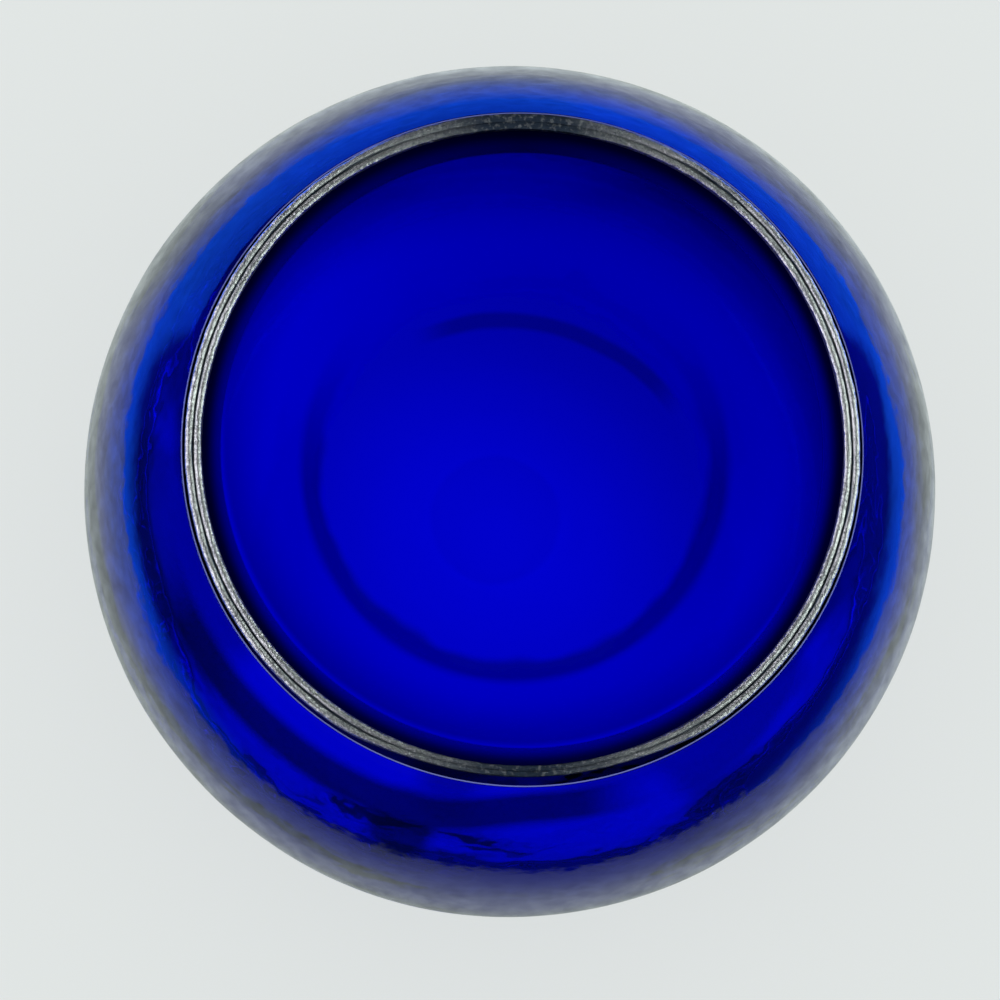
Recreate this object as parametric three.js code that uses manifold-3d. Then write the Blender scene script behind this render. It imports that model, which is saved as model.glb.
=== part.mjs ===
// A small globe vase of cobalt glass with silver laid over its lip and round it below the waist.
// Millimetres, +Z up. The origin is the centre of the foot, on the surface that the vase stands on.

import * as THREE from 'three';
import { mergeVertices } from 'three/addons/utils/BufferGeometryUtils.js';
import Module from 'manifold-3d';

const wasm = await Module();
wasm.setup();

// Glass
const bodyRadius = 38;      // outside of the globe at its widest
const mouthRadius = 27.1;   // outside of the globe where the mouth is cut
const footRadius = 22;      // outside of the flat ring that the vase stands on
const wall = 3;
const baseThickness = 4;    // glass at the middle of the floor
const footLand = 2.4;       // width of the flat ring
const hollowRise = 1.6;     // height of the hollow under the foot
const pontilRadius = 7.3;   // polished dish where the glass was broken off its rod
const pontilDepth = 0.4;
const heelRounding = 2.5;
const lipOuterRounding = 0.35;
const lipInnerRounding = 1;

// Silver
const silverGap = 0.1;        // between the glass and every piece of silver
const silverThickness = 0.3;
const lipBandWidth = 1.35;
const lipBandInset = 0.15;    // bare glass left on the lip outside the band
const lipBeads = 2;           // side by side on the band
const lipBeadRaise = 0.3;     // above the band
const beltTop = -4.4;         // both measured up from the widest part of the globe
const beltBottom = -10;
const borderWidth = 0.7;

// Leaf scrolls and quatrefoils of the belt
const repeats = 20;
const islandGap = 0.5;        // bare glass left beside each piece of the belt
const scrollReach = 5.6;      // from the scroll's middle to one of its ends, along the stem
const scrollTurn = 298;       // degrees that each half of the stem curls through
const scrollTilt = -30;       // degrees from level at the stem's middle
const stemWidth = 0.7;        // at the middle
const stemEndWidth = 0.35;
const eyeRadius = 0.42;
const leafFullness = 0.8;     // under 1 is fullest nearer the root
const quatrefoilReach = 1.1;  // from its middle to the end of a lobe
const lobeRadius = 0.55;
const leaves = [              // along: share of the stem from its middle, splay: degrees from the stem
  { along: 0.06, splay: 36, length: 1.6, width: 0.7 },
  { along: 0.28, splay: 46, length: 1.5, width: 0.7 },
  { along: 0.5, splay: 49, length: 1.3, width: 0.65 },
  { along: 0.68, splay: 54, length: 1.0, width: 0.5 },
];

// Fineness
const facetsPerRepeat = 3;
const globeSteps = 12;
const innerSteps = 5;
const floorSteps = 8;
const roundingSteps = 2;
const lipSteps = 4;
const beadSteps = 3;
const beltSteps = 4;
const stemSteps = 8;          // in half a stem
const stemSlices = 8;         // summed in each step
const leafSteps = 3;
const discSides = 8;

const facets = repeats * facetsPerRepeat;
const cobalt = { color: 0x0000b4, roughness: 0.05, metalness: 0, transparent: true, opacity: 0.8 };
const silver = { color: 0xc9cbc6, roughness: 0.22, metalness: 1 };

// The globe's centre sits where its rounded heel runs smoothly into the flat foot.
const equator = heelRounding + Math.sqrt((bodyRadius - heelRounding) ** 2 - footRadius ** 2);
const mouthHeight = equator + Math.sqrt(bodyRadius ** 2 - mouthRadius ** 2);
const innerRadius = bodyRadius - wall;
const floorHeight = hollowRise + pontilDepth + baseThickness;

const degrees = (point) => THREE.MathUtils.radToDeg(Math.atan2(point.y, point.x));

// Points of an ellipse's arc in the half plane of radius and height, angles in degrees from level.
function arc(centre, radii, from, to, steps) {
  return Array.from({ length: steps + 1 }, (_, i) => {
    const angle = THREE.MathUtils.degToRad(from + ((to - from) * i) / steps);
    return new THREE.Vector2(centre.x + radii.x * Math.cos(angle), centre.y + radii.y * Math.sin(angle));
  });
}

function circleArc(centre, radius, from, to, steps) {
  return arc(centre, new THREE.Vector2(radius, radius), from, to, steps);
}

// Turns a profile of radius and height round the vase's axis.
function turned(profile) {
  return new THREE.LatheGeometry(profile, facets).rotateX(Math.PI / 2);
}

const globeCentre = new THREE.Vector2(0, equator);

// Centre of a rounding that touches a level plane and a sphere about the globe's centre.
function roundingCentre(sphereRadius, height) {
  const rise = height - equator;
  return new THREE.Vector2(Math.sqrt(sphereRadius ** 2 - rise ** 2), height);
}

// Underside: a shallow hollow inside the flat ring, with the polished dish in its middle.
function undersideProfile() {
  const hollowRadius = footRadius - footLand;
  const capRadius = (hollowRadius ** 2 + hollowRise ** 2) / (2 * hollowRise);
  const capHeight = (radius) => hollowRise - capRadius + Math.sqrt(capRadius ** 2 - radius ** 2);
  const dishEdge = new THREE.Vector2(pontilRadius, capHeight(pontilRadius));
  const middle = (dishEdge.x + hollowRadius) / 2;
  return [
    new THREE.Vector2(0, hollowRise + pontilDepth),
    new THREE.Vector2(pontilRadius / 2, capHeight(pontilRadius / 2) + (pontilDepth * 3) / 4),
    dishEdge,
    new THREE.Vector2(middle, capHeight(middle)),
    new THREE.Vector2(hollowRadius, 0),
  ];
}

function glassBody() {
  const heel = roundingCentre(bodyRadius - heelRounding, heelRounding);
  const outerLip = roundingCentre(bodyRadius - lipOuterRounding, mouthHeight - lipOuterRounding);
  const innerLip = roundingCentre(innerRadius + lipInnerRounding, mouthHeight - lipInnerRounding);
  const heelAngle = degrees(heel.clone().sub(globeCentre));
  const outerLipAngle = degrees(outerLip.clone().sub(globeCentre));
  const innerLipAngle = degrees(innerLip.clone().sub(globeCentre));
  const cavity = new THREE.Vector2(innerRadius, equator - floorHeight);
  const profile = [
    ...undersideProfile(),
    ...circleArc(heel, heelRounding, -90, heelAngle, roundingSteps),
    ...circleArc(globeCentre, bodyRadius, heelAngle, outerLipAngle, globeSteps).slice(1),
    ...circleArc(outerLip, lipOuterRounding, outerLipAngle, 90, roundingSteps).slice(1),
    ...circleArc(innerLip, lipInnerRounding, 90, 180 + innerLipAngle, lipSteps),
    ...circleArc(globeCentre, innerRadius, innerLipAngle, 0, innerSteps).slice(1),
    ...arc(globeCentre, cavity, 0, -90, floorSteps).slice(1, -1),
    new THREE.Vector2(0, floorHeight),
  ];
  return turned(profile);
}

// Flat ring on the lip with beads side by side along its top.
function lipBand() {
  const seat = mouthHeight + silverGap;
  const top = seat + silverThickness;
  const outer = roundingCentre(bodyRadius - lipOuterRounding, mouthHeight - lipOuterRounding).x - lipBandInset;
  const inner = outer - lipBandWidth;
  const bead = new THREE.Vector2(lipBandWidth / lipBeads / 2, lipBeadRaise);
  const profile = [new THREE.Vector2(inner, seat), new THREE.Vector2(outer, seat)];
  for (let i = lipBeads - 1; i >= 0; i -= 1) {
    const middle = new THREE.Vector2(inner + bead.x * (2 * i + 1), top);
    profile.push(...arc(middle, bead, 0, 180, beadSteps).slice(i < lipBeads - 1 ? 1 : 0));
  }
  profile.push(profile[0].clone());
  return turned(profile);
}

// Skin of silver over the globe between two heights from its widest part.
function skin(bottom, top, steps) {
  const inner = bodyRadius + silverGap;
  const outer = inner + silverThickness;
  const low = THREE.MathUtils.radToDeg(Math.asin(bottom / bodyRadius));
  const high = THREE.MathUtils.radToDeg(Math.asin(top / bodyRadius));
  const profile = [
    ...circleArc(globeCentre, outer, low, high, steps),
    ...circleArc(globeCentre, inner, high, low, steps),
  ];
  profile.push(profile[0].clone());
  return turned(profile);
}

// One half of the scroll's stem, a curve whose bend grows evenly from the middle to the end.
function halfStem() {
  const points = [{ x: 0, y: 0, heading: THREE.MathUtils.degToRad(scrollTilt), share: 0 }];
  const step = 1 / (stemSteps * stemSlices);
  let x = 0;
  let y = 0;
  for (let i = 1; i <= stemSteps * stemSlices; i += 1) {
    const share = i * step;
    const heading = THREE.MathUtils.degToRad(scrollTilt + scrollTurn * (share - step / 2) ** 2);
    x += scrollReach * step * Math.cos(heading);
    y += scrollReach * step * Math.sin(heading);
    if (i % stemSlices === 0) {
      points.push({ x, y, heading: THREE.MathUtils.degToRad(scrollTilt + scrollTurn * share ** 2), share });
    }
  }
  return points;
}

function stemShape(half) {
  const side = (point, sign, turn) => {
    const width = stemWidth + (stemEndWidth - stemWidth) * point.share;
    const x = point.x - (sign * Math.sin(point.heading) * width) / 2;
    const y = point.y + (sign * Math.cos(point.heading) * width) / 2;
    return new THREE.Vector2(turn * x, turn * y);
  };
  const otherEnd = half.slice(1);
  return new THREE.Shape([
    ...half.map((point) => side(point, -1, 1)),
    ...half.toReversed().map((point) => side(point, 1, 1)),
    ...otherEnd.map((point) => side(point, -1, -1)),
    ...otherEnd.toReversed().map((point) => side(point, 1, -1)),
  ]);
}

// Pointed leaf from its root.
function leafShape(root, angle, length, width) {
  const edge = (i, sign) => {
    const share = i / leafSteps;
    const out = sign * (width / 2) * Math.sin(Math.PI * share ** leafFullness);
    return new THREE.Vector2(length * share, out).rotateAround(new THREE.Vector2(), angle).add(root);
  };
  const lower = Array.from({ length: leafSteps + 1 }, (_, i) => edge(i, -1));
  const upper = Array.from({ length: leafSteps - 1 }, (_, i) => edge(leafSteps - 1 - i, 1));
  return new THREE.Shape([...lower, ...upper]);
}

function discShape(centre, radius) {
  const rim = circleArc(centre, radius, 0, 360, discSides);
  return new THREE.Shape(rim.slice(0, -1));
}

// Where the stem passes a leaf's root, between its nearest two points.
function stemAt(half, share) {
  const before = Math.min(Math.floor(share * stemSteps), stemSteps - 1);
  const part = share * stemSteps - before;
  const from = half[before];
  const to = half[before + 1];
  const mix = (key) => THREE.MathUtils.lerp(from[key], to[key], part);
  return { x: mix('x'), y: mix('y'), heading: mix('heading') };
}

function scrollShapes() {
  const half = halfStem();
  const end = half[half.length - 1];
  const shapes = [stemShape(half)];
  for (const turn of [1, -1]) {
    shapes.push(discShape(new THREE.Vector2(turn * end.x, turn * end.y), eyeRadius));
    for (const leaf of leaves) {
      const root = stemAt(half, leaf.along);
      const back = turn > 0 ? 0 : Math.PI;
      const angle = root.heading - THREE.MathUtils.degToRad(leaf.splay) + back;
      shapes.push(leafShape(new THREE.Vector2(turn * root.x, turn * root.y), angle, leaf.length, leaf.width));
    }
  }
  return shapes;
}

// Four round lobes that meet in the middle.
function quatrefoilShapes() {
  const lobeCentre = new THREE.Vector2(quatrefoilReach - lobeRadius, 0);
  return Array.from({ length: 4 }, (_, i) =>
    discShape(lobeCentre.clone().rotateAround(new THREE.Vector2(), (i * Math.PI) / 2), lobeRadius));
}

function toSolid(geometry) {
  const bare = geometry.clone();
  bare.deleteAttribute('normal');
  bare.deleteAttribute('uv');
  const merged = mergeVertices(bare);
  const vertProperties = new Float32Array(merged.attributes.position.array);
  const triVerts = new Uint32Array(merged.index.array);
  return new wasm.Manifold(new wasm.Mesh({ numProp: 3, vertProperties, triVerts }));
}

function toGeometry(solid) {
  const mesh = solid.getMesh();
  const geometry = new THREE.BufferGeometry();
  geometry.setAttribute('position', new THREE.BufferAttribute(mesh.vertProperties, 3));
  geometry.setIndex(new THREE.BufferAttribute(mesh.triVerts, 1));
  geometry.computeVertexNormals();
  return geometry;
}

const beltMiddle = (beltTop + beltBottom) / 2;
const pitch = (2 * Math.PI * Math.sqrt(bodyRadius ** 2 - beltBottom ** 2)) / repeats;
const roomUp = beltTop - beltBottom - 2 * (borderWidth + islandGap);
const roomAcross = pitch - 2 * (quatrefoilReach + islandGap);
const beltSkin = toSolid(skin(beltBottom, beltTop, beltSteps));

// Cuts flat shapes out of the belt's skin at the front of the globe, smaller where they have no room.
function cutFromBelt(shapes, roomWide, roomHigh) {
  const depth = bodyRadius / 2;
  let block = null;
  for (const shape of shapes) {
    const piece = toSolid(new THREE.ExtrudeGeometry(shape, { depth, bevelEnabled: false }));
    block = block ? block.add(piece) : piece;
  }
  const box = new THREE.Box3().setFromBufferAttribute(toGeometry(block).attributes.position);
  const size = box.getSize(new THREE.Vector3());
  const fit = Math.min(1, roomWide / size.x, roomHigh / size.y);
  const front = toGeometry(block)
    .scale(fit, fit, 1)
    .rotateX(Math.PI / 2)
    .translate(0, -bodyRadius + depth / 2, equator + beltMiddle);
  return toGeometry(toSolid(front).intersect(beltSkin));
}

const vase = new THREE.Group();

function addPiece(name, geometry, finish, turn = 0) {
  const mesh = new THREE.Mesh(geometry, new THREE.MeshStandardMaterial(finish));
  mesh.name = name;
  mesh.rotation.z = turn;
  vase.add(mesh);
}

addPiece('glass_body', glassBody(), cobalt);
addPiece('lip_band', lipBand(), silver);
addPiece('belt_border_upper', skin(beltTop - borderWidth, beltTop, 1), silver);
addPiece('belt_border_lower', skin(beltBottom, beltBottom + borderWidth, 1), silver);

const scroll = cutFromBelt(scrollShapes(), roomAcross, roomUp);
const quatrefoil = cutFromBelt(quatrefoilShapes(), 2 * quatrefoilReach, roomUp);
for (let i = 0; i < repeats; i += 1) {
  const number = String(i + 1).padStart(2, '0');
  addPiece(`leaf_scroll_${number}`, scroll, silver, (i * 2 * Math.PI) / repeats);
  addPiece(`quatrefoil_${number}`, quatrefoil, silver, ((i + 0.5) * 2 * Math.PI) / repeats);
}

export default vase;
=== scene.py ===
import math

import bpy
import numpy as np
from mathutils import Matrix, Vector


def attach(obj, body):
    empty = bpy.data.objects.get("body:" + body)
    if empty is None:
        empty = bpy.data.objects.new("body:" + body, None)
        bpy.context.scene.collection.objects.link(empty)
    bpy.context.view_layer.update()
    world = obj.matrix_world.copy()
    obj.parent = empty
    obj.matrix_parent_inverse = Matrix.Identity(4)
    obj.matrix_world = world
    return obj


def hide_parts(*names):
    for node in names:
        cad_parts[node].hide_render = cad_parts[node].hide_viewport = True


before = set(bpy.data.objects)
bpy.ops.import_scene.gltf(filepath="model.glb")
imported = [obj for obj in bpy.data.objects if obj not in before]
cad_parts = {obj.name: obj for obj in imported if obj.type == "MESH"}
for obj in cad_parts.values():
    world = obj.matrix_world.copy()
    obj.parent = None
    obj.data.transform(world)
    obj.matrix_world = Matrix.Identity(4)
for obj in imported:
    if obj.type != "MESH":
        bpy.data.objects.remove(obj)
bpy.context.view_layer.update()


# A socket in a node tree, so that sums on sockets read as ordinary sums.
class Wire:
    def __init__(self, socket):
        self.socket = socket

    def maths(self, operation, first, second=0.0):
        tree = self.socket.id_data
        vector = isinstance(first, tuple) or isinstance(second, tuple)
        node = tree.nodes.new("ShaderNodeVectorMath" if vector else "ShaderNodeMath")
        node.operation = operation
        plug(tree, node.inputs[0], first)
        plug(tree, node.inputs[1], second)
        return Wire(node.outputs[0])

    def other(self, output):
        return Wire(self.socket.node.outputs[output])

    def __add__(self, value):
        return self.maths("ADD", self, value)

    def __sub__(self, value):
        return self.maths("SUBTRACT", self, value)

    def __rsub__(self, value):
        return self.maths("SUBTRACT", value, self)

    def __mul__(self, value):
        return self.maths("MULTIPLY", self, value)

    def __truediv__(self, value):
        return self.maths("DIVIDE", self, value)

    def __abs__(self):
        return self.maths("ABSOLUTE", self)

    __radd__ = __add__
    __rmul__ = __mul__


def plug(tree, socket, value):
    if isinstance(value, Wire):
        tree.links.new(value.socket, socket)
    else:
        socket.default_value = value


# The node tree of a material or of the world.
class Tree:
    def __init__(self, owner):
        owner.use_nodes = True
        self.owner = owner
        self.tree = owner.node_tree
        self.tree.nodes.clear()

    def node(self, kind, values=None, output=0, **settings):
        made = self.tree.nodes.new("ShaderNode" + kind)
        for name, value in settings.items():
            setattr(made, name, value)
        for socket, value in (values or {}).items():
            plug(self.tree, made.inputs[socket], value)
        return Wire(made.outputs[output])

    def objectPlace(self):
        return self.node("TexCoord", output="Object")

    def noise(self, place, scale, detail, roughness=0.5):
        values = {"Vector": place, "Scale": scale, "Detail": detail, "Roughness": roughness}
        return self.node("TexNoise", values)

    # 0 below low and 1 above high, smoothly between; low may be the greater.
    def step(self, value, low, high):
        values = {"Value": value, "From Min": low, "From Max": high}
        return self.node("MapRange", values, interpolation_type="SMOOTHSTEP")

    def mix(self, factor, first, second):
        return self.node("Mix", {0: factor, 6: first, 7: second}, 2, data_type="RGBA")

    # X, Y or Z of a vector.
    def part(self, vector, axis):
        return self.node("SeparateXYZ", {0: vector}, axis)

    def length(self, vector):
        return self.node("VectorMath", {0: vector}, "Value", operation="LENGTH")

    def scaled(self, colour, share):
        return self.node("VectorMath", {0: colour, "Scale": share}, operation="SCALE")

    def bump(self, height, distance, strength=1.0):
        return self.node("Bump", {"Height": height, "Distance": distance, "Strength": strength})

    def finish(self, surface, volume=None):
        output = "OutputWorld" if isinstance(self.owner, bpy.types.World) else "OutputMaterial"
        ends = {"Surface": surface}
        if volume:
            ends["Volume"] = volume
        made = self.tree.nodes.new("ShaderNode" + output)
        for socket, value in ends.items():
            plug(self.tree, made.inputs[socket], value)
        return self.owner


def rgb(red, green, blue):
    return (red, green, blue, 1)


def point(x, z):
    return Vector((x, 0, z))


# Point of an ellipse in the XZ plane, its angle in degrees from level.
def pointAt(centre, radii, degrees):
    angle = math.radians(degrees)
    return centre + point(radii[0] * math.cos(angle), radii[1] * math.sin(angle))


def arc(centre, radii, start, end, steps):
    return [pointAt(centre, radii, start + (end - start) * i / steps) for i in range(steps + 1)]


def circleArc(centre, radius, start, end, steps):
    return arc(centre, (radius, radius), start, end, steps)


def degreesFrom(centre, place):
    return math.degrees(math.atan2(place.z - centre.z, place.x - centre.x))


# Draws a profile in the XZ plane point by point, and spins it round the vase's axis.
def spinProfile(name, profile, steps, sharpest):
    bpy.ops.object.select_all(action="DESELECT")
    bpy.ops.mesh.primitive_plane_add(size=0.001)
    piece = bpy.context.object
    piece.name = piece.data.name = name
    bpy.ops.object.mode_set(mode="EDIT")
    bpy.ops.mesh.merge(type="CENTER")
    bpy.ops.transform.translate(value=profile[0])
    for here, there in zip(profile, profile[1:]):
        bpy.ops.mesh.extrude_region_move(TRANSFORM_OT_translate={"value": there - here})
    bpy.ops.mesh.select_all(action="SELECT")
    bpy.ops.mesh.spin(steps=steps, angle=2 * math.pi, center=(0, 0, 0), axis=(0, 0, 1))
    bpy.ops.mesh.select_all(action="SELECT")
    bpy.ops.mesh.remove_doubles(threshold=1e-6)
    bpy.ops.mesh.normals_make_consistent(inside=False)
    bpy.ops.object.mode_set(mode="OBJECT")
    bpy.ops.object.shade_smooth_by_angle(angle=math.radians(sharpest))
    return piece


# Gives the finished piece its finish and its body, and hides the CAD nodes that it stands for.
def place(piece, finish, slot, *nodes):
    piece.data.materials.clear()
    piece.data.materials.append(finish)
    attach(piece, "root")
    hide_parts(*nodes)


# Pushes the surface in by up to depth, unevenly, where the vertex group is strong.
def ripple(piece, group, size, depth):
    clouds = bpy.data.textures.new(piece.name + "." + group, "CLOUDS")
    clouds.noise_scale = size
    clouds.noise_depth = 1
    bpy.context.view_layer.objects.active = piece
    made = piece.modifiers.new(group, "DISPLACE")
    made.texture = clouds
    made.texture_coords = "LOCAL"
    made.vertex_group = group
    made.mid_level = 1
    made.strength = depth
    bpy.ops.object.modifier_apply(modifier=made.name)


def weighVertices(piece, group, weight):
    made = piece.vertex_groups.new(name=group)
    for vertex in piece.data.vertices:
        made.add([vertex.index], weight(vertex.co), "REPLACE")


glass = {
    "bodyRadius": 0.038,
    "mouthRadius": 0.0271,
    "footRadius": 0.022,
    "wall": 0.003,
    "baseThickness": 0.004,
    "footLand": 0.0024,
    "hollowRise": 0.0016,
    "pontilRadius": 0.0073,
    "pontilDepth": 0.0004,
    "heelRounding": 0.0025,
    "lipOuterRounding": 0.00035,
    "lipInnerRounding": 0.001,
    "dishSteps": 8,
    "hollowSteps": 12,
    "heelSteps": 10,
    "outsideSteps": 64,
    "lipOuterSteps": 5,
    "lipInnerSteps": 12,
    "insideSteps": 32,
    "bowlSteps": 64,
    "spinSteps": 192,
    "sharpest": 40,           # degrees between faces that still shade as one surface
    "rippleSize": 0.011,
    "rippleDepth": 0.00010,
    "rippleFrom": 0.0045,     # above the table, so that the foot stays flat
    "rippleTo": 0.055,
    "rippleRise": 0.003,
    "lipSwell": 0.0002,       # how far the rim's inside bulges inwards
    "swellBlend": 3,          # degrees of the wall that lead from the bulge back to the globe
}

heelReach = glass["bodyRadius"] - glass["heelRounding"]
equator = glass["heelRounding"] + math.sqrt(heelReach ** 2 - glass["footRadius"] ** 2)
mouthHeight = equator + math.sqrt(glass["bodyRadius"] ** 2 - glass["mouthRadius"] ** 2)
globeCentre = point(0, equator)


# Centre of a rounding that touches a level plane and a sphere about the globe's centre.
def roundingCentre(sphereRadius, height):
    return point(math.sqrt(sphereRadius ** 2 - (height - equator) ** 2), height)


# Centre of the lip's outer rounding.
lipReach = glass["bodyRadius"] - glass["lipOuterRounding"]
lipEdge = roundingCentre(lipReach, mouthHeight - glass["lipOuterRounding"])


# Underside: a shallow hollow inside the flat ring, with the polished dish in its middle.
def undersideProfile():
    g = glass
    hollowRadius = g["footRadius"] - g["footLand"]
    capRadius = (hollowRadius ** 2 + g["hollowRise"] ** 2) / (2 * g["hollowRise"])
    capCentre = point(0, g["hollowRise"] - capRadius)
    dish = []
    for i in range(g["dishSteps"]):
        share = i / g["dishSteps"]
        radius = g["pontilRadius"] * share
        height = capCentre.z + math.sqrt(capRadius ** 2 - radius ** 2)
        dish.append(point(radius, height + g["pontilDepth"] * (1 - share ** 2)))
    edges = [math.degrees(math.acos(r / capRadius)) for r in (g["pontilRadius"], hollowRadius)]
    return dish + circleArc(capCentre, capRadius, edges[0], edges[1], g["hollowSteps"])


def makeGlobe():
    g = glass
    innerRadius = g["bodyRadius"] - g["wall"]
    floorHeight = g["hollowRise"] + g["pontilDepth"] + g["baseThickness"]
    heel = roundingCentre(heelReach, g["heelRounding"])
    innerLip = roundingCentre(innerRadius + g["lipInnerRounding"], mouthHeight - g["lipInnerRounding"])
    heelAngle = degreesFrom(globeCentre, heel)
    outerAngle = degreesFrom(globeCentre, lipEdge)
    innerAngle = degreesFrom(globeCentre, innerLip)
    profile = undersideProfile()
    profile += circleArc(heel, g["heelRounding"], -90, heelAngle, g["heelSteps"])
    profile += circleArc(globeCentre, g["bodyRadius"], heelAngle, outerAngle, g["outsideSteps"])[1:]
    profile += circleArc(lipEdge, g["lipOuterRounding"], outerAngle, 90, g["lipOuterSteps"])[1:]
    innerRadii = (g["lipInnerRounding"] + g["lipSwell"], g["lipInnerRounding"])
    profile += arc(innerLip, innerRadii, 90, 180 + innerAngle, g["lipInnerSteps"])
    profile += circleArc(globeCentre, innerRadius, innerAngle - g["swellBlend"], 0, g["insideSteps"])
    profile += arc(globeCentre, (innerRadius, equator - floorHeight), 0, -90, g["bowlSteps"])[1:-1]
    profile.append(point(0, floorHeight))
    globe = spinProfile("cobalt_globe", profile, g["spinSteps"], g["sharpest"])

    def share(height):
        return min(max(height / g["rippleRise"], 0), 1)

    def rippleWeight(co):
        return share(co.z - g["rippleFrom"]) * share(g["rippleTo"] - co.z)

    weighVertices(globe, "blown_ripple", rippleWeight)
    ripple(globe, "blown_ripple", g["rippleSize"], g["rippleDepth"])
    return globe


# Most pairs of numbers here are where a soft step begins and ends.
cobalt = {
    "refraction": 1.5,
    "roughness": 0.01,
    "reflectionTint": (0.10, 0.25, 1.0, 1),
    "absorbedColour": (0, 0, 0.982, 1),
    "absorption": 2500,
    "darkest": (0, 0, 0.003, 1),
    "innerAbove": (0.0056, 0.006),        # the inner surface: height, and distance from the globe's centre
    "innerWithin": (0.0362, 0.0358),
    "wobbles": 180,
    "ringCentre": (0.0014, 0.0054, 0),
    "ringRadius": 0.0202,
    "ringWidth": 0.0013,
    "ringWobble": 0.9,                    # unevenness of the ring's width
    "ringStray": 0.0008,                  # and of its line
    "ringEdge": (1.25, 0.35),
    "ringFade": (0.8, -0.15),
    "ringShade": 0.72,
    "arcCentre": (0.0003, -0.0006, 0),
    "arcRadius": 0.0209,
    "arcWidth": 0.0008,
    "arcStray": 0.0004,
    "arcEdge": (1.3, 0.5),
    "arcTowards": (0.27, 0.963),          # direction of its middle, to the right and to the back
    "arcFade": (0.74, 0.88),
    "arcShade": 0.62,
    "pontilCentre": (-0.0004, 0.0007, 0),
    "pontilRadius": 0.0065,
    "pontilStray": 0.0006,
    "pontilSoftness": 0.0004,
    "pontilShade": 0.14,
    "streaks": 70,
    "streakShade": 0.05,
    "frontSide": (-0.98, -0.88),          # the part of the near shoulder that has the painted shade arc
    "frontFrom": (0.1, -0.35),
    # Painted shade arc on the near shoulder, with its painted blotches.
    "shadeArcRadius": 0.0302,
    "shadeArcWidth": 0.0014,
    "shadeArcStray": 0.0012,
    "shadeArcEdge": (1.3, 0.55),
    "shadeArcStop": (0.45, 0.15),
    "shadeArcEnd": (-0.0097, -0.0300, 0),     # where it widens and ends
    "shadeArcEndSize": (0.0036, 0.0020),
    "shadeArcRise": 0.0014,                   # how much closer to the mouth it runs at the front
    "shadeArcRiseFrom": (-0.3, 0.05),
    "shadeArcShade": 0.95,
    "clearSide": (-0.16, -0.34),          # free of painted blotches outside the painted shade arc on its left
    "clearOut": (0.0008, 0.002),
    "shoulderFrom": (0.045, 0.047),
    "blotches": 58,
    "blotchEdge": (0.45, 0.55),
    "blotchShade": 0.68,
    "mouthCentre": (0.0022, 0.0073, 0),   # the floor seen from above through the mouth
    "mouthRadius": (0.0305, 0.0290),
    "mouthShade": 0.48,
    "edgeFrom": (0.0245, 0.0300),         # softly darker close to the rim
    "edgeShade": 0.7,
    "dimTowards": (0.6, 0.8),             # darker to the right and the back
    "dimFrom": (-0.01, 0.02),
    "farShade": 0.26,
    "farFrom": (0.030, 0.0345),           # clearer again close to the rim at the back
    "farLift": 0.7,
    "rimDepth": (0.0022, 0.0014),         # below the lip
    "rimFrom": (0.0232, 0.0236),
    "rimTo": (0.0262, 0.0256),
    "rimFade": (0.0239, 0.0253),
    "rimInside": (0.0, 0.0, 0.6, 1),
    "rimOutside": (0.0, 0.0, 0.10, 1),
    "rimBack": 0.34,                      # shares of those painted colours at the back and at the front
    "rimFront": 1.4,
    "rimFrontFrom": (-0.1, -0.7),
    "rimRoughness": 0.85,
    "spun": (20, 20, 115),                # the ripples run round the globe, so they are finer in height
    "swells": 60,
    "swellShare": 0.7,
    "pits": 500,
    "pitShare": 0.07,
    "rippleHeight": 0.0002,
}


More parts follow.
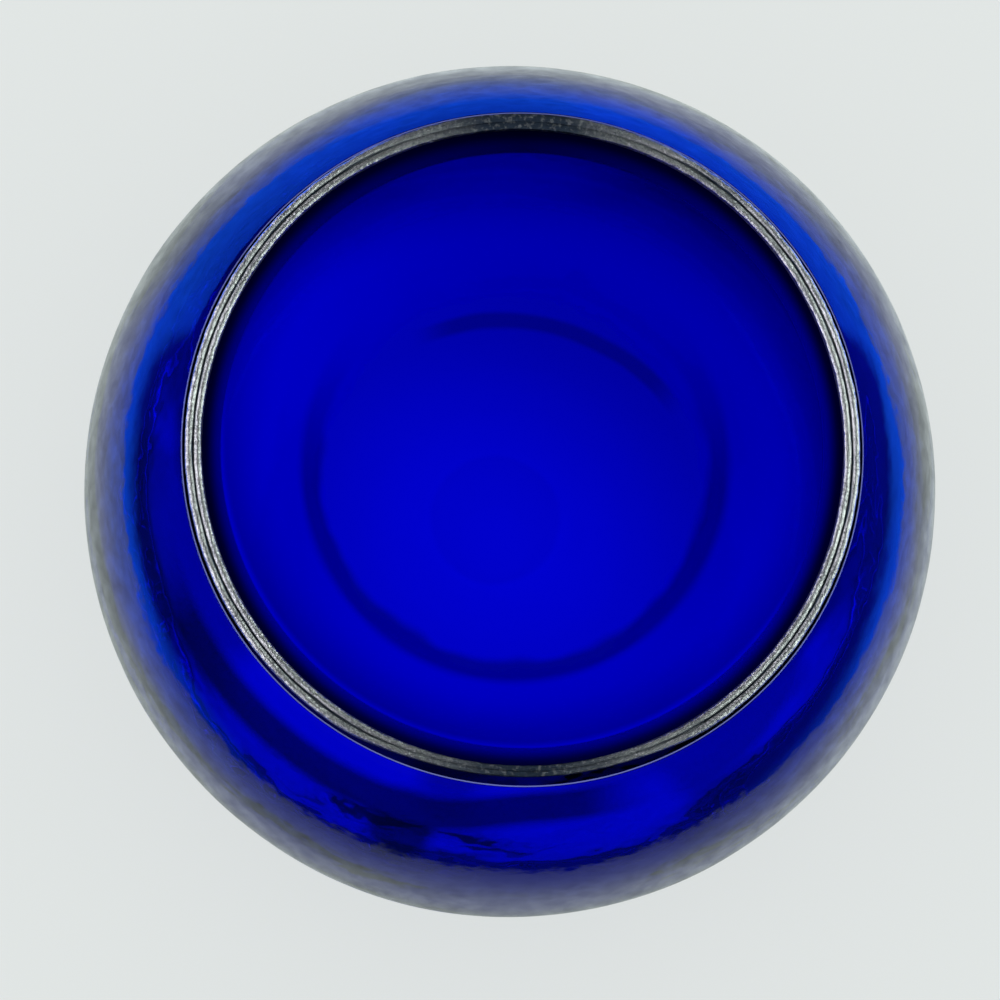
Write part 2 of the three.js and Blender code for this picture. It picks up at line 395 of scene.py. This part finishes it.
def cobaltGlass():
    c = cobalt
    paint = Tree(bpy.data.materials.new("cobalt glass"))
    here = paint.objectPlace()
    height = paint.part(here, "Z")
    fromMiddle = paint.length(here - (0, 0, equator))
    inside = paint.step(height, *c["innerAbove"]) * paint.step(fromMiddle, *c["innerWithin"])
    wobble = paint.noise(here, c["wobbles"], 1) - 0.5

    # Distance from an upright line through the centre, and how far to its back and its right a place lies.
    def around(centre):
        flat = (here - centre) * (1, 1, 0)
        distance = paint.length(flat)
        return distance, paint.part(flat, "Y") / (distance + 1e-6), paint.part(flat, "X") / (distance + 1e-6)

    # Off-centre ring in the floor, strong in front and fading at the back.
    distance, back, side = around(c["ringCentre"])
    width = c["ringWidth"] * (1 + wobble * c["ringWobble"])
    offLine = abs(distance - c["ringRadius"] + wobble * c["ringStray"])
    ring = paint.step(offLine / width, *c["ringEdge"]) * paint.step(back, *c["ringFade"])

    # Short arc above the foot ring, at the back only.
    distance, back, side = around(c["arcCentre"])
    towards = side * c["arcTowards"][0] + back * c["arcTowards"][1]
    offLine = abs(distance - c["arcRadius"] + wobble * c["arcStray"])
    arcMark = paint.step(offLine / c["arcWidth"], *c["arcEdge"]) * paint.step(towards, *c["arcFade"])

    # Polished dish under the floor.
    distance, back, side = around(c["pontilCentre"])
    outer, inner = c["pontilRadius"] + c["pontilSoftness"], c["pontilRadius"] - c["pontilSoftness"]
    pontil = paint.step(distance + wobble * c["pontilStray"], outer, inner)
    streaks = paint.noise(here, c["streaks"], 3)
    shade = ring * c["ringShade"] + arcMark * c["arcShade"] + pontil * c["pontilShade"]
    shade = shade + streaks * c["streakShade"]

    # Painted shade on the near shoulder: a dark arc round it, broken up along its length, and dark blotches.
    fromAxis, axisBack, axisSide = around((0, 0, 0))
    broken = paint.noise(here * c["spun"], 1, 1)
    distance = fromAxis + (broken - 0.5) * c["shadeArcStray"]
    distance = distance + paint.step(axisSide, *c["shadeArcRiseFrom"]) * c["shadeArcRise"]
    front = paint.step(axisSide, *c["frontSide"]) * paint.step(axisBack, *c["frontFrom"])
    shadeArc = paint.step(abs(distance - c["shadeArcRadius"]) / c["shadeArcWidth"], *c["shadeArcEdge"])
    shadeArc = shadeArc * front * paint.step(axisSide, *c["shadeArcStop"])
    shadeArcEnd = paint.step(paint.length((here - c["shadeArcEnd"]) * (1, 1, 0)), *c["shadeArcEndSize"])
    shadeArc = 1 - (1 - shadeArc) * (1 - shadeArcEnd)
    clearOut = paint.step(distance, *(c["shadeArcRadius"] + out for out in c["clearOut"]))
    blotched = 1 - front * paint.step(axisSide, *c["clearSide"]) * clearOut
    blotch = paint.step(paint.noise(here, c["blotches"], 1), *c["blotchEdge"]) * c["blotchShade"] * blotched
    shoulder = paint.step(height, *c["shoulderFrom"]) * (1 - inside)
    onShoulder = 1 - (1 - shadeArc * c["shadeArcShade"]) * (1 - blotch)

    # The floor as seen through the mouth, dimmer to the back right.
    distance, back, side = around(c["mouthCentre"])
    towards = distance * (side * c["dimTowards"][0] + back * c["dimTowards"][1])
    dim = c["mouthShade"] + paint.step(towards, *c["dimFrom"]) * c["farShade"]
    dim = 1 - (1 - dim) * (1 - paint.step(distance, *c["edgeFrom"]) * c["edgeShade"])
    dim = dim * (1 - paint.step(paint.part(here, "Y"), *c["farFrom"]) * c["farLift"])
    dim = dim * paint.step(distance, *c["mouthRadius"])

    # Painted shade: inside the silver the thick rim is painted as a nearly black metal, bluer towards its
    # inner edge, and painted lighter at the sides and the front.
    rim = paint.step(height, *(mouthHeight - depth for depth in c["rimDepth"]))
    rim = rim * paint.step(fromAxis, *c["rimTo"]) * paint.step(fromAxis, *c["rimFrom"])
    # Painted light: the rim's colour is lighter at the sides and the front than at the back.
    rimLightShare = c["rimBack"] + abs(axisSide) * (1 - c["rimBack"])
    rimLightShare = rimLightShare + paint.step(axisBack, *c["rimFrontFrom"]) * (c["rimFront"] - rimLightShare)
    rimColour = paint.mix(paint.step(fromAxis, *c["rimFade"]), c["rimInside"], c["rimOutside"])
    clear = (1 - shade * inside) * (1 - dim * inside) * (1 - onShoulder * shoulder)
    colour = paint.mix(rim, paint.mix(clear, c["darkest"], rgb(1, 1, 1)), paint.scaled(rimColour, rimLightShare))

    waves = broken + paint.noise(here, c["swells"], 1) * c["swellShare"]
    waves = waves + paint.noise(here, c["pits"], 1) * c["pitShare"]
    surface = paint.node("BsdfPrincipled", {
        "Base Color": colour,
        "Metallic": rim,
        "Roughness": c["roughness"] + rim * c["rimRoughness"],
        "IOR": c["refraction"],
        "Transmission Weight": 1.0,
        "Specular Tint": c["reflectionTint"],
        "Normal": paint.bump(waves, c["rippleHeight"]),
    })
    volume = paint.node("VolumeAbsorption", {"Color": c["absorbedColour"], "Density": c["absorption"]})
    return paint.finish(surface, volume)


silver = {
    "bright": (0.86, 0.88, 0.86, 1),
    # Tarnish, and the painted shade at a ring's front and back.
    "tarnishAndShade": (0.032, 0.055, 0.095, 1),
    # Lilac of the painted highlight line on the lip's outer edge.
    "paintedHighlight": (0.15, 0.17, 0.52, 1),
    "roughness": 0.24,
    "grainRoughness": 0.12,
    "tarnishRoughness": 0.2,
    "paintedHighlightRoughness": 0.4,
    "clouds": 260,
    "grain": 4500,
    "grainDepth": 0.00009,
    "cloudShare": 0.5,
    "grainShare": 0.7,
    "wornFrom": (0.52, 0.76),
    "endsFrom": (0.55, 0.05),     # the painted shade at the front and back of the ring, as a share of the way to its side
    "specks": 2300,
    "speckEdge": (0.5, 0.68),
    "speckShare": 0.3,            # how much brighter the specks in the painted shade at the ends are
}


# Tarnish in clouds and hollows. On a ring also painted shade in the same dark colour towards its front and
# back, with lighter specks.
def brightSilver(name, tarnishShare, endShade, grainStrength):
    s = silver
    paint = Tree(bpy.data.materials.new(name))
    here = paint.objectPlace()
    cloud = paint.noise(here, s["clouds"], 4, 0.6)
    grain = paint.noise(here, s["grain"], 3, 0.7)
    worn = paint.step(cloud * s["cloudShare"] + grain * s["grainShare"], *s["wornFrom"])
    hollow = paint.node("Attribute", output="Fac", attribute_name="hollow")
    paintedHighlight = paint.node("Attribute", output="Fac", attribute_name="paintedHighlight")
    side = abs(paint.part(here, "X")) / paint.length(here * (1, 1, 0))
    specks = paint.step(paint.noise(here, s["specks"], 2), *s["speckEdge"])
    # Painted shade: the ring darker towards its front and back.
    ends = paint.step(side + (cloud - 0.5) * s["cloudShare"], *s["endsFrom"])
    ends = ends * endShade * (1 - specks * s["speckShare"])
    dark = 1 - (1 - worn * tarnishShare) * (1 - ends)
    dark = paint.node("Math", {0: dark, 1: hollow}, operation="MAXIMUM")
    roughness = s["roughness"] + grain * s["grainRoughness"] + dark * s["tarnishRoughness"]
    surface = paint.node("BsdfPrincipled", {
        "Base Color": paint.mix(paintedHighlight, paint.mix(dark, s["bright"], s["tarnishAndShade"]), s["paintedHighlight"]),
        "Metallic": 1 - paintedHighlight,
        "Roughness": roughness + paintedHighlight * s["paintedHighlightRoughness"],
        "Normal": paint.bump(grain + cloud * s["cloudShare"], s["grainDepth"], grainStrength),
    })
    return paint.finish(surface)


# A number for each vertex, kept with the mesh.
def markVertices(piece, name, numbers):
    attribute = piece.data.attributes.new(name, "FLOAT", "POINT")
    attribute.data.foreach_set("value", np.array(numbers, np.float32))


lipBand = {
    "width": 0.00135,
    "inset": 0.00015,
    "gap": 0.0001,
    "thickness": 0.0003,
    "beads": 2,
    "beadRaise": 0.00025,
    "ridge": ((1, 0), (0.97, 0.25), (0.82, 0.56), (0.5, 0.84), (0.14, 1),
              (-0.14, 1), (-0.5, 0.84), (-0.82, 0.56), (-0.97, 0.25), (-1, 0)),
    "frontFrom": (0.84, 0.97),    # where it narrows, as a share of the way to the front
    "frontWidth": 0.68,           # the share of its width that it has there
    "backFrom": (0.4, 0.95),
    "backShift": 0.00013,         # how much further out it lies at the back
    "raisedFrom": (0.15, 0.6),    # where the beads rise, as a share of the way to the side
    "wornShare": 0.3,             # what is left of them at the front and back
    "spinSteps": 720,
    "sharpest": 40,
    "grainAbove": 0.00005,
    "grainSize": 0.0007,
    "grainDepth": 0.00011,
    "wander": ((5, 0, 0.00004), (17, 1, 0.00004), (41, 0, 0.000028)),   # waves round, start, reach
    "grooveShade": (0.42, 0.12),  # where the groove's tarnish ends and is full, in bead half-widths
    "paintedHighlightWidth": 0.0001,
    "paintedHighlightAngle": 72,              # above level, on the rounded outer edge of the lip
}


def smooth(value, low, high):
    share = min(max((value - low) / (high - low), 0), 1)
    return share ** 2 * (3 - 2 * share)


# Flat ring on the lip with beads side by side along its top.
def makeLipBand():
    b = lipBand
    seat = mouthHeight + b["gap"]
    top = seat + b["thickness"]
    outer = lipEdge.x - b["inset"]
    inner = outer - b["width"]
    bead = (b["width"] / b["beads"] / 2, b["beadRaise"])
    profile = [point(inner, seat), point(outer, seat)]
    for i in reversed(range(b["beads"])):
        middle = point(inner + bead[0] * (2 * i + 1), top)
        profile += [middle + point(bead[0] * across, bead[1] * up) for across, up in b["ridge"]]
    profile.append(profile[0])
    band = spinProfile("lip_silver", profile, b["spinSteps"], b["sharpest"])

    # Its inner edge, the share of its width and the share of its beads' height, as they change round it.
    def sizesAt(co):
        radius = math.hypot(co.x, co.y)
        start = inner + smooth(co.y / radius, *b["backFrom"]) * b["backShift"]
        share = 1 - (1 - b["frontWidth"]) * smooth(-co.y / radius, *b["frontFrom"])
        raised = b["wornShare"] + (1 - b["wornShare"]) * smooth(abs(co.x) / radius, *b["raisedFrom"])
        return start, share, raised

    for vertex in band.data.vertices:
        co = vertex.co
        radius = math.hypot(co.x, co.y)
        start, share, raised = sizesAt(co)
        shift = (start + (radius - inner) * share) / radius
        vertex.co = (co.x * shift, co.y * shift, co.z if co.z < top else top + (co.z - top) * raised)
    weighVertices(band, "silver_grain", lambda co: 1.0 if co.z > seat + b["grainAbove"] else 0.0)
    ripple(band, "silver_grain", b["grainSize"], b["grainDepth"])

    def darkness(co):
        turn = math.atan2(co.y, co.x)
        stray = sum(reach * math.sin(waves * turn + first) for waves, first, reach in b["wander"])
        start, share, raised = sizesAt(co)
        groove = start + b["width"] / 2 * share
        fromGroove = abs(math.hypot(co.x, co.y) - groove + stray) / (bead[0] * share)
        faint, full = b["grooveShade"]
        return min(max((faint - fromGroove) / (faint - full), 0), 1) * raised

    markVertices(band, "hollow", [darkness(v.co) for v in band.data.vertices])
    markVertices(band, "paintedHighlight", [0] * len(band.data.vertices))
    # Painted highlight: a thin lilac ring of non-metal on the lip's rounded outer edge.
    paintedHighlightPlace = pointAt(lipEdge, (glass["lipOuterRounding"], glass["lipOuterRounding"]), b["paintedHighlightAngle"])
    bpy.ops.mesh.primitive_torus_add(
        location=(0, 0, paintedHighlightPlace.z), major_segments=360, minor_segments=10,
        major_radius=paintedHighlightPlace.x, minor_radius=b["paintedHighlightWidth"] / 2)
    line = bpy.context.object
    bpy.ops.object.transform_apply(location=True)
    bpy.ops.object.shade_smooth()
    markVertices(line, "paintedHighlight", [1] * len(line.data.vertices))
    band.select_set(True)
    bpy.context.view_layer.objects.active = band
    bpy.ops.object.join()
    return band


belt = {
    "top": -0.0044,           # both measured up from the widest part of the globe
    "bottom": -0.010,
    "gap": 0.0001,
    "thickness": 0.0003,
    "borderWidth": 0.0007,
    "islandGap": 0.0005,
    "repeats": 20,
    "spinSteps": 240,
    "borderSharpest": 60,
    "islandSharpest": 50,
    "acrossSteps": 16,
    "edgeHeight": 0.25,       # a border's height at its edge, and the rest of these as shares too
    "edgeRounding": 0.3,
    "lineWidth": 0.07,
    "lineDepth": 0.45,
    "lineShade": 0.8,
    "lineShadeWidth": 0.12,
}


# Strip with rounded edges and a line engraved along its middle.
def makeBorder(name, low, high):
    b = belt
    inner = glass["bodyRadius"] + b["gap"]
    lowAngle = math.degrees(math.asin(low / glass["bodyRadius"]))
    highAngle = math.degrees(math.asin(high / glass["bodyRadius"]))

    def onGlobe(radius, angle):
        return pointAt(globeCentre, (radius, radius), angle)

    profile = [onGlobe(inner, lowAngle)]
    for i in range(b["acrossSteps"] + 1):
        share = i / b["acrossSteps"]
        edge = min(min(share, 1 - share) * 2 / b["edgeRounding"], 1)
        rounding = math.sqrt(edge * (2 - edge))
        line = math.exp(-((share - 0.5) / b["lineWidth"]) ** 2) * b["lineDepth"]
        height = b["edgeHeight"] + (1 - b["edgeHeight"]) * rounding - line
        profile.append(onGlobe(inner + b["thickness"] * height, lowAngle + (highAngle - lowAngle) * share))
    profile += [onGlobe(inner, highAngle), profile[0]]
    border = spinProfile(name, profile, b["spinSteps"], b["borderSharpest"])
    middle = math.sin(math.radians((lowAngle + highAngle) / 2)) * glass["bodyRadius"] + equator

    def darkness(co):
        fromLine = abs(co.z - middle) / (b["borderWidth"] * b["lineShadeWidth"])
        return max(0, 1 - fromLine) * b["lineShade"]

    markVertices(border, "hollow", [darkness(v.co) for v in border.data.vertices])
    return border


leafScroll = {
    "reach": 0.0056,          # from the scroll's middle to one of its ends, along the stem
    "turn": 298,              # degrees that each half of the stem curls through
    "tilt": -30,
    "stemWidth": 0.0007,
    "stemEndWidth": 0.00035,
    "eyeRadius": 0.00042,
    "fullness": 0.8,
    "stemSteps": 40,
    "leafSteps": 12,
    "leaves": (               # share along the stem, degrees from the stem, length, width
        (0.06, 36, 0.0016, 0.0007),
        (0.28, 46, 0.0015, 0.0007),
        (0.50, 49, 0.0013, 0.00065),
        (0.68, 54, 0.0010, 0.0005),
    ),
    # The stem's section and the tarnish at each of its points. The sixth is the vein.
    "section": ((-0.5, 0), (-0.5, 0.4), (-0.4, 0.8), (-0.22, 1), (-0.07, 0.9), (0, 0.55),
                (0.07, 0.9), (0.22, 1), (0.4, 0.8), (0.5, 0.4), (0.5, 0)),
    "shades": (0.3, 0.1, 0, 0, 0.2, 0.85, 0.2, 0, 0, 0.1, 0.3),
    "leafEndWidth": 0.12,     # at the least, as a share of the leaf's width
}

quatrefoil = {
    "reach": 0.0011,
    "lobeRadius": 0.00055,
    "bossRadius": 0.00035,
    "lobeHeight": 0.9,        # as a share of the silver's thickness
}

# What the scrolls and flowers have to fit.
beltMiddle = (belt["top"] + belt["bottom"]) / 2
pitch = 2 * math.pi * math.sqrt(glass["bodyRadius"] ** 2 - belt["bottom"] ** 2) / belt["repeats"]
roomUp = belt["top"] - belt["bottom"] - 2 * (belt["borderWidth"] + belt["islandGap"])
roomAcross = pitch - 2 * (quatrefoil["reach"] + belt["islandGap"])


def addCurve(name, lines, cyclic):
    data = bpy.data.curves.new(name, "CURVE")
    data.dimensions = "3D"
    for line in lines:
        spline = data.splines.new("POLY")
        spline.points.add(len(line) - 1)
        for knot, (x, y, radius) in zip(spline.points, line):
            knot.co = (x, y, 0, 1)
            knot.radius = radius
        spline.use_cyclic_u = cyclic
    made = bpy.data.objects.new(name, data)
    bpy.context.collection.objects.link(made)
    return made


# Half of the stem as x, y, heading and share along it. It bends more and more from the middle to the end.
def halfStem():
    s = leafScroll
    x = y = 0
    points = []
    for i in range(s["stemSteps"] + 1):
        share = i / s["stemSteps"]
        heading = math.radians(s["tilt"] + s["turn"] * share ** 2)
        points.append((x, y, heading, share))
        between = math.radians(s["tilt"] + s["turn"] * (share + 0.5 / s["stemSteps"]) ** 2)
        x += s["reach"] / s["stemSteps"] * math.cos(between)
        y += s["reach"] / s["stemSteps"] * math.sin(between)
    return points


def scrollLines():
    s = leafScroll
    half = halfStem()
    thinning = s["stemEndWidth"] - s["stemWidth"]
    stem = [(x, y, s["stemWidth"] + thinning * share) for x, y, heading, share in half]
    lines = [[(-x, -y, width) for x, y, width in reversed(stem)] + stem[1:]]
    for turn in (1, -1):
        for along, splay, length, width in s["leaves"]:
            x, y, heading, share = half[round(along * s["stemSteps"])]
            angle = heading - math.radians(splay)
            leaf = []
            for i in range(s["leafSteps"] + 1):
                out = i / s["leafSteps"]
                full = max(math.sin(math.pi * out ** s["fullness"]), s["leafEndWidth"])
                leafX = x + length * out * math.cos(angle)
                leafY = y + length * out * math.sin(angle)
                leaf.append((turn * leafX, turn * leafY, width * full))
            lines.append(leaf)
    return lines, [(turn * half[-1][0], turn * half[-1][1]) for turn in (1, -1)]


# Button with a domed top, lying flat.
def addButton(x, y, radius, height):
    bpy.ops.mesh.primitive_uv_sphere_add(segments=20, ring_count=10, radius=radius, location=(x, y, 0))
    button = bpy.context.object
    bpy.ops.object.mode_set(mode="EDIT")
    bpy.ops.mesh.select_all(action="SELECT")
    bpy.ops.mesh.bisect(plane_co=(x, y, 0), plane_no=(0, 0, 1), use_fill=True, clear_inner=True)
    bpy.ops.object.mode_set(mode="OBJECT")
    button.scale.z = height / radius
    bpy.ops.object.transform_apply(location=True, rotation=False, scale=True)
    return button


def joinAll(pieces, name):
    bpy.ops.object.select_all(action="DESELECT")
    for piece in pieces:
        piece.select_set(True)
    bpy.context.view_layer.objects.active = pieces[0]
    bpy.ops.object.join()
    made = bpy.context.object
    made.name = made.data.name = name
    return made


# Lays a flat piece on the front of the globe: its x stays, its y goes up and its z stands out.
def layOnGlobe(piece, roomWide, roomHigh):
    corners = [Vector(corner) for corner in piece.bound_box]
    wide = max(c.x for c in corners) - min(c.x for c in corners)
    high = max(c.y for c in corners) - min(c.y for c in corners)
    fit = min(1, roomWide / wide, roomHigh / high)
    for vertex in piece.data.vertices:
        x, y, out = vertex.co.x * fit, vertex.co.y * fit + beltMiddle, vertex.co.z
        radius = glass["bodyRadius"] + belt["gap"] + out
        vertex.co = (x, -math.sqrt(radius ** 2 - x ** 2 - y ** 2), equator + y)
    bpy.ops.object.select_all(action="DESELECT")
    piece.select_set(True)
    bpy.context.view_layer.objects.active = piece
    bpy.ops.object.mode_set(mode="EDIT")
    bpy.ops.mesh.select_all(action="SELECT")
    bpy.ops.mesh.normals_make_consistent(inside=False)
    bpy.ops.object.mode_set(mode="OBJECT")
    bpy.ops.object.shade_smooth_by_angle(angle=math.radians(belt["islandSharpest"]))


def makeScroll():
    s = leafScroll
    lines, ends = scrollLines()
    flatness = belt["thickness"] / s["stemWidth"]
    section = addCurve("scroll_section", [[(x, y * flatness, 1) for x, y in s["section"]]], True)
    path = addCurve("scroll_path", lines, False)
    path.data.bevel_mode = "OBJECT"
    path.data.bevel_object = section
    path.data.twist_mode = "Z_UP"
    path.data.use_fill_caps = True
    bpy.ops.object.select_all(action="DESELECT")
    path.select_set(True)
    bpy.context.view_layer.objects.active = path
    bpy.ops.object.convert(target="MESH")
    scroll = bpy.context.object
    bpy.data.objects.remove(section)
    # The mesh's vertices follow each other round the section.
    shades = [s["shades"][v.index % len(s["shades"])] for v in scroll.data.vertices]
    markVertices(scroll, "hollow", shades)
    eyes = [addButton(x, y, s["eyeRadius"], belt["thickness"]) for x, y in ends]
    scroll = joinAll([scroll] + eyes, "scroll_leaves")
    layOnGlobe(scroll, roomAcross, roomUp)
    return scroll


def makeQuatrefoil():
    q = quatrefoil
    middle = q["reach"] - q["lobeRadius"]
    height = belt["thickness"] * q["lobeHeight"]
    ways = ((1, 0), (0, 1), (-1, 0), (0, -1))
    lobes = [addButton(x * middle, y * middle, q["lobeRadius"], height) for x, y in ways]
    boss = addButton(0, 0, q["bossRadius"], belt["thickness"])
    flower = joinAll(lobes + [boss], "small_flower")
    layOnGlobe(flower, 2 * q["reach"], roomUp)
    return flower


# Copies of a front piece, evenly round the vase from the given share of a step.
def repeatRound(first, finish, nodes, start):
    for i in range(belt["repeats"]):
        copy = first.copy()
        copy.data = first.data.copy()
        bpy.context.collection.objects.link(copy)
        copy.data.transform(Matrix.Rotation(2 * math.pi * (i + start) / belt["repeats"], 4, "Z"))
        copy.name = copy.data.name = f"{first.name}_{i + 1:02d}"
        place(copy, finish, "silver", f"{nodes}_{i + 1:02d}")
    bpy.data.objects.remove(first)


cobaltFinish = cobaltGlass()
lipSilver = brightSilver("silver on the lip", tarnishShare=0.6, endShade=0.97, grainStrength=1.0)
beltSilver = brightSilver("silver of the belt", tarnishShare=0.33, endShade=0, grainStrength=0.35)

place(makeGlobe(), cobaltFinish, "cobalt_glass", "glass_body")
print("globe made")
place(makeLipBand(), lipSilver, "silver", "lip_band")
print("lip band made")
upperBorder = makeBorder("belt_edge_upper", belt["top"] - belt["borderWidth"], belt["top"])
place(upperBorder, beltSilver, "silver", "belt_border_upper")
lowerBorder = makeBorder("belt_edge_lower", belt["bottom"], belt["bottom"] + belt["borderWidth"])
place(lowerBorder, beltSilver, "silver", "belt_border_lower")
print("belt borders made")
repeatRound(makeScroll(), beltSilver, "leaf_scroll", 0)
repeatRound(makeQuatrefoil(), beltSilver, "quatrefoil", 0.5)
print("scrolls and flowers made")


stage = {
    "floorSize": 6,
    "floorDrop": 0.0001,
    "floorColour": (0.80, 0.82, 0.81, 1),
    "floorGlow": (0.775, 0.805, 0.79, 1),
    "cameraShare": 0.75,          # how much of the floor glows evenly, to the camera and through the glass
    "throughShare": 0.85,
    "footFrom": (0.038, 0.030),   # strengths of the floor seen through the glass, added from outside inwards
    "underFoot": 0.7,
    "darkFrom": (0.042, 0.033),
    "underGlass": 0.9,
    "darkTo": (0.11, 0.14),
    "darkShare": 0.08,
    "wellBeyond": 1.1,
    "brightCentre": (0.003, 0.016, 0),
    "brightRadii": (0.106, 0.116, 1),
    "brightEnd": (1.05, 0.96),    # as shares of those radii
    "brightFade": (0.98, 0.66),
    "fadedShare": 0.6,
    "farFade": (0.145, 0.070),
    "inGloss": (0.66, 0.74, 0.72, 1),
    "nearFrom": (-0.060, -0.025),
    "nearShare": 0.75,
    "shadeFrom": (0.042, 0.062),  # the vase's own shade on the floor, from its foot outwards
    "shadeShare": 0.6,
    "patchTurns": (20, 20, 0),    # unevenness of the reflected floor: finer round the vase
    "patchOut": 130,              # than outwards
    "patchEdge": 0.24,
    "patchShade": 0.9,
    "blueEnd": (1.34, 1.06),      # blue past the bright floor, reaching further at the back
    "blueFarther": 1.4,
    "blueFartherFrom": (0.04, 0.15),
    "blueFrom": (-0.09, -0.02),
    "beyondDark": (0.010, 0.030, 0.45, 1),
    "beyondBlue": (0.03, 0.38, 3.0, 1),
    "worldColour": (0.95, 1.0, 1.0, 1),
    "worldSeen": (0.752, 0.792, 0.775, 1),    # the floor's colour, so that the horizon doesn't show
    "overheadInGloss": 0.05,
    "cardDistance": 0.6,
    "cardFrom": 0.20,
    "cardTo": 0.64,
    "cardWidth": 1.0,
    "cardEdge": 0.08,
    "leftGlow": (3.0, 2.95, 3.3, 1),
    "rightGlow": (2.8, 3.1, 3.0, 1),
}


# Pale floor. The camera sees it evenly bright, with part of the vase's shadow, and in reflections it
# ends a little way out.
def makeFloor():
    s = stage
    bpy.ops.object.select_all(action="DESELECT")
    bpy.ops.mesh.primitive_plane_add(size=s["floorSize"], location=(0, 0, -s["floorDrop"]))
    floor = bpy.context.object
    floor.name = "floor"
    paint = Tree(bpy.data.materials.new("pale floor"))
    here = paint.objectPlace()
    y = paint.part(here, "Y")
    radius = paint.length(here)

    # In reflections: the bright floor, what lies beyond it and patches in both.
    outwards = paint.node("CombineXYZ", {"Z": radius * s["patchOut"]})
    polar = paint.node("VectorMath", {0: here}, operation="NORMALIZE") * s["patchTurns"]
    patchPlace = paint.node("VectorMath", {0: polar, 1: outwards}, operation="ADD")
    patchy = paint.noise(patchPlace, 1, 2, 0.6) - 0.5
    fromBright = paint.length((here - s["brightCentre"]) / s["brightRadii"]) + patchy * s["patchEdge"]
    bright = paint.step(fromBright, *s["brightEnd"]) * paint.step(y, *s["farFade"])
    bright = bright * (paint.step(fromBright, *s["brightFade"]) * (1 - s["fadedShare"]) + s["fadedShare"])
    blueEnd = fromBright - paint.step(y, *s["blueFartherFrom"]) * s["blueFarther"]
    blue = paint.step(blueEnd, *s["blueEnd"]) * paint.step(y, *s["blueFrom"])
    beyond = paint.mix(blue, s["beyondDark"], s["beyondBlue"])
    dim = paint.step(y, *s["nearFrom"]) * (1 - s["nearShare"]) + s["nearShare"]
    dim = dim * (paint.step(radius, *s["shadeFrom"]) * (1 - s["shadeShare"]) + s["shadeShare"])
    dim = dim * (1 + patchy * s["patchShade"])
    reflected = paint.scaled(paint.mix(bright, beyond, s["inGloss"]), dim)

    # Through the glass: painted shadow, dark in a ring round the foot, with painted light brighter under the
    # foot.
    pool = paint.step(radius, *s["footFrom"]) * s["underFoot"] + s["darkShare"]
    pool = pool + paint.step(radius, *s["darkFrom"]) * s["underGlass"]
    pool = pool + paint.step(radius, *s["darkTo"]) * (s["wellBeyond"] - s["darkShare"])
    camera = paint.node("LightPath", output="Is Camera Ray")
    through = camera.other("Is Transmission Ray")
    mirrored = camera.other("Is Glossy Ray") * (1 - through)
    colour = paint.scaled(paint.mix(mirrored, s["floorGlow"], reflected), camera + mirrored + through * pool)
    share = camera * s["cameraShare"] + mirrored + through * s["throughShare"]
    glow = paint.node("Emission", {"Color": colour})
    matt = paint.node("BsdfDiffuse", {"Color": s["floorColour"]})
    floor.data.materials.append(paint.finish(paint.node("MixShader", {0: share, 1: matt, 2: glow})))


# Tall light card at one side, seen only in reflections.
def makeCard(name, side, glow):
    s = stage
    bpy.ops.object.select_all(action="DESELECT")
    bpy.ops.mesh.primitive_plane_add(size=1)
    card = bpy.context.object
    card.name = name
    bpy.ops.transform.resize(value=(s["cardTo"] - s["cardFrom"], s["cardWidth"], 1))
    card.rotation_euler = (0, math.radians(90), 0)
    card.location = (side * s["cardDistance"], 0, (s["cardFrom"] + s["cardTo"]) / 2)
    bpy.ops.object.transform_apply(location=True, rotation=True, scale=True)
    paint = Tree(bpy.data.materials.new(name))
    here = paint.objectPlace()
    height = paint.part(here, "Z")
    edge = s["cardEdge"]
    soft = paint.step(height, s["cardFrom"], s["cardFrom"] + edge)
    soft = soft * paint.step(height, s["cardTo"], s["cardTo"] - edge)
    soft = soft * paint.step(abs(paint.part(here, "Y")), s["cardWidth"] / 2, s["cardWidth"] / 2 - edge)
    emission = paint.node("Emission", {"Color": paint.mix(soft, rgb(0, 0, 0), glow)})
    card.data.materials.append(paint.finish(emission))
    card.visible_camera = card.visible_diffuse = card.visible_transmission = card.visible_shadow = False


def makeWorld():
    s = stage
    world = bpy.data.worlds.new("studio")
    bpy.context.scene.world = world
    paint = Tree(world)
    camera = paint.node("LightPath", output="Is Camera Ray")
    mirrored = camera.other("Is Glossy Ray") * (1 - camera.other("Is Transmission Ray"))
    colour = paint.mix(camera, s["worldColour"], s["worldSeen"])
    colour = paint.scaled(colour, 1 - mirrored * (1 - s["overheadInGloss"]))
    paint.finish(paint.node("Background", {"Color": colour}))


view = {
    "place": (-0.2419, -0.8129, 5.5),     # in globe radii from the globe's centre
    "aim": (-0.0227, -0.0200, 0),
    "lens": 84.0,
    "sensor": 36.0,
}


def makeCamera():
    radius = glass["bodyRadius"]
    eye = globeCentre + Vector(view["place"]) * radius
    forward = (globeCentre + Vector(view["aim"]) * radius - eye).normalized()
    right = forward.cross(Vector((0, 1, 0))).normalized()
    turn = Matrix((right, right.cross(forward), -forward)).transposed()
    bpy.ops.object.camera_add(location=eye, rotation=turn.to_euler())
    camera = bpy.context.object
    camera.name = "camera"
    camera.data.lens = view["lens"]
    camera.data.sensor_width = view["sensor"]
    camera.data.clip_start = 0.01
    bpy.context.scene.camera = camera


makeFloor()
makeCard("card_left", -1, stage["leftGlow"])
makeCard("card_right", 1, stage["rightGlow"])
makeWorld()
makeCamera()
bpy.context.scene.view_settings.view_transform = "Standard"
print("stage set")

bpy.context.view_layer.update()
